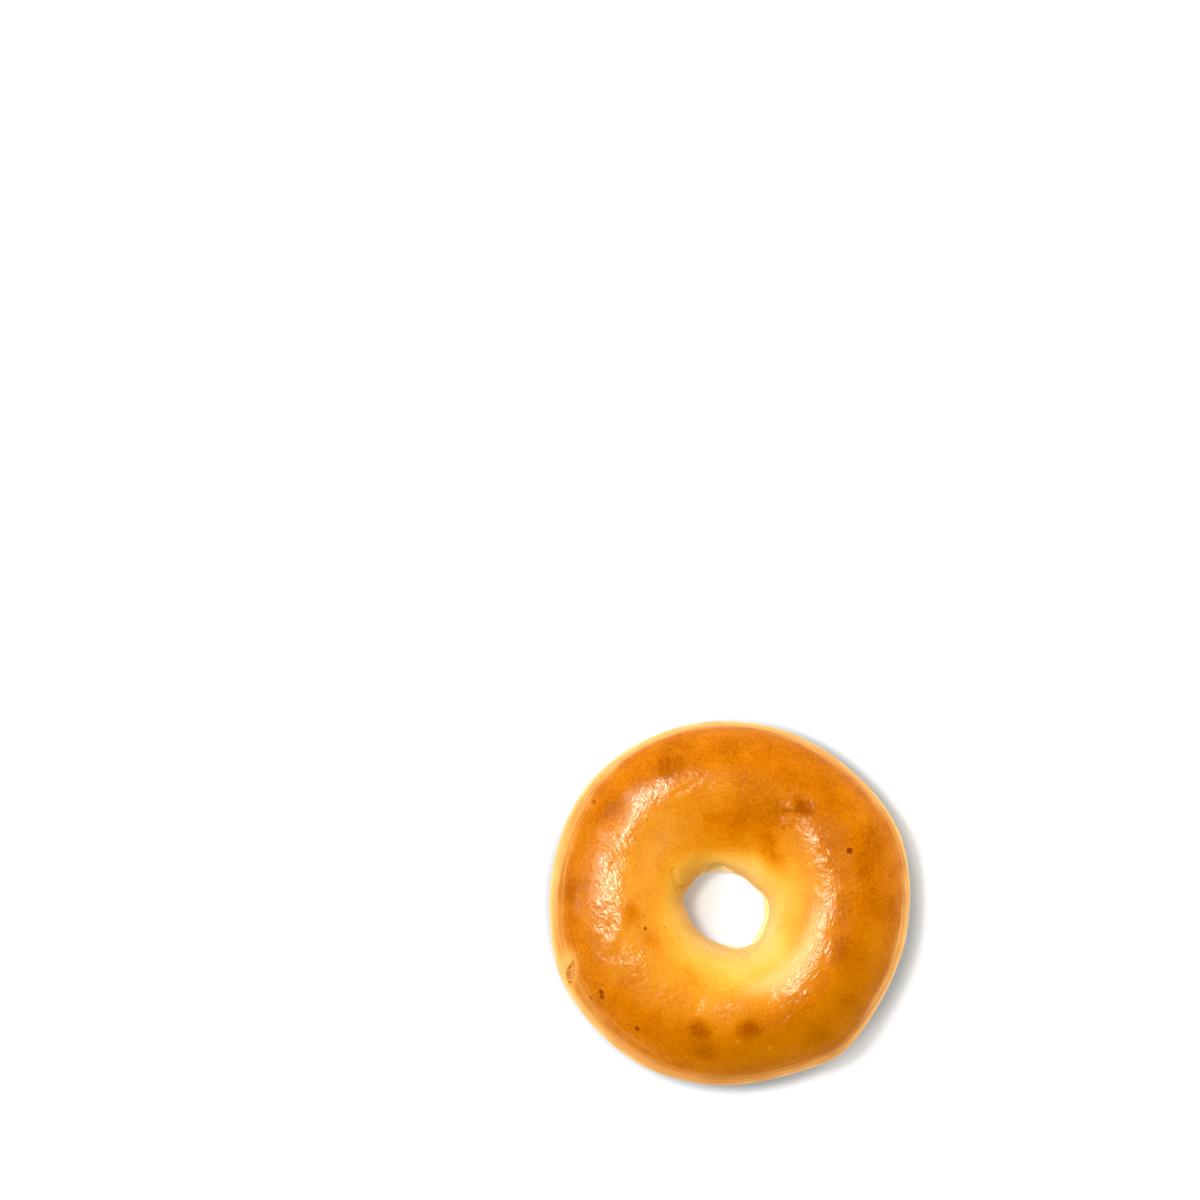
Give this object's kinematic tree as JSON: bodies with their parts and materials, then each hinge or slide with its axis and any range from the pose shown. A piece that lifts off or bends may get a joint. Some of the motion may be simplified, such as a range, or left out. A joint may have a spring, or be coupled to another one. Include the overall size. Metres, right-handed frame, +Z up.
{
  "type": "bagel",
  "caption": "Plain baked bagel: a golden ring of bread with a domed, browned top, a flat underside and an uneven round hole through its middle.",
  "frame": {"origin": "middle of the bagel's box seen from above, at the height of the flat underside; the hole's middle is about 2 mm to -X and 2 mm to -Y of it", "axes": "+Z up through the hole, towards the browned top; +X and +Y lie in the plane the bagel rests on, with the small torn bubble near the rim on the -X side"},
  "size_m": [0.109, 0.11, 0.0356],
  "materials": {
    "crust": "baked crust: golden brown, finely wrinkled and softly shiny on top, pale yellow round the hole"
  },
  "bodies": {
    "root": {"bagel": "crust"}
  },
  "joints": []
}
